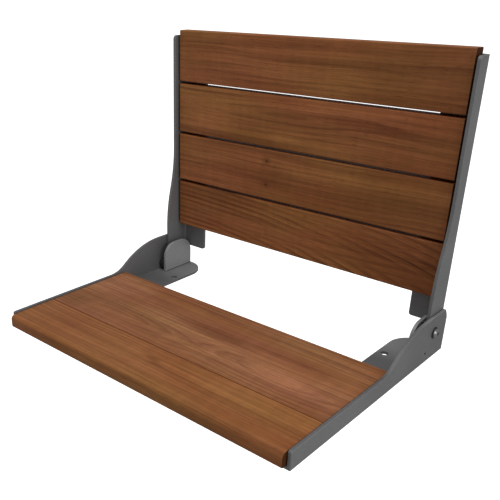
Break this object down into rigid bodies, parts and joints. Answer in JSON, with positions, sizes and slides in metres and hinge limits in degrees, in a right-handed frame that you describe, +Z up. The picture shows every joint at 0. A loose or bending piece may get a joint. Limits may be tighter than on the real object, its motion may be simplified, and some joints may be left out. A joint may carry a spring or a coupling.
{
  "type": "fold down wall seat",
  "caption": "Wall mounted seat with a slatted timber back, bent plate uprights and a timber seat on pivoting arms that folds up against the back.",
  "frame": {"origin": "centre of the four wall keyholes, on the wall plane, midway between the uprights", "axes": "+X along the seat to the sitter's left, +Y into the wall, +Z up; the seat stands out from the wall towards -Y"},
  "size_m": [0.5218, 0.3903, 0.4121],
  "materials": {
    "frame_coating": "fine satin grey powder coat",
    "arm_coating": "fine satin grey powder coat",
    "slat_timber": "oiled, fine straight grain",
    "seat_timber": "oiled, fine straight grain",
    "stainless": "bright turned stainless",
    "screw_steel": "plain stainless",
    "nylon": "black moulded bearing plastic",
    "stop_rubber": "hard dark bumper rubber"
  },
  "bodies": {
    "wall_frame": {"left_upright": "frame_coating", "right_upright": "frame_coating", "back_slat_1": "slat_timber", "back_slat_2": "slat_timber", "back_slat_3": "slat_timber", "back_slat_4": "slat_timber", "back_slat_screws_inner": "screw_steel", "back_slat_screws_outer": "screw_steel", "left_pivot_bushing": "nylon", "right_pivot_bushing": "nylon"},
    "seat": {"left_seat_arm": "arm_coating", "right_seat_arm": "arm_coating", "left_hinge_plate": "arm_coating", "right_hinge_plate": "arm_coating", "rear_seat_board": "seat_timber", "front_seat_board": "seat_timber", "left_seat_screws": "screw_steel", "right_seat_screws": "screw_steel", "left_pivot_bolt": "stainless", "right_pivot_bolt": "stainless", "left_pivot_washer": "nylon", "right_pivot_washer": "nylon", "left_thrust_washer": "nylon", "right_thrust_washer": "nylon", "left_pivot_spacer": "nylon", "right_pivot_spacer": "nylon", "left_stop_roller": "stop_rubber", "right_stop_roller": "stop_rubber", "left_stop_pin": "stainless", "right_stop_pin": "stainless"}
  },
  "joints": [
    {"name": "seat_fold", "type": "hinge", "parent": "wall_frame", "child": "seat", "pos_m": [0, -0.0395, -0.206], "axis": [-1, 0, 0], "range_deg": [0, 90]}
  ]
}
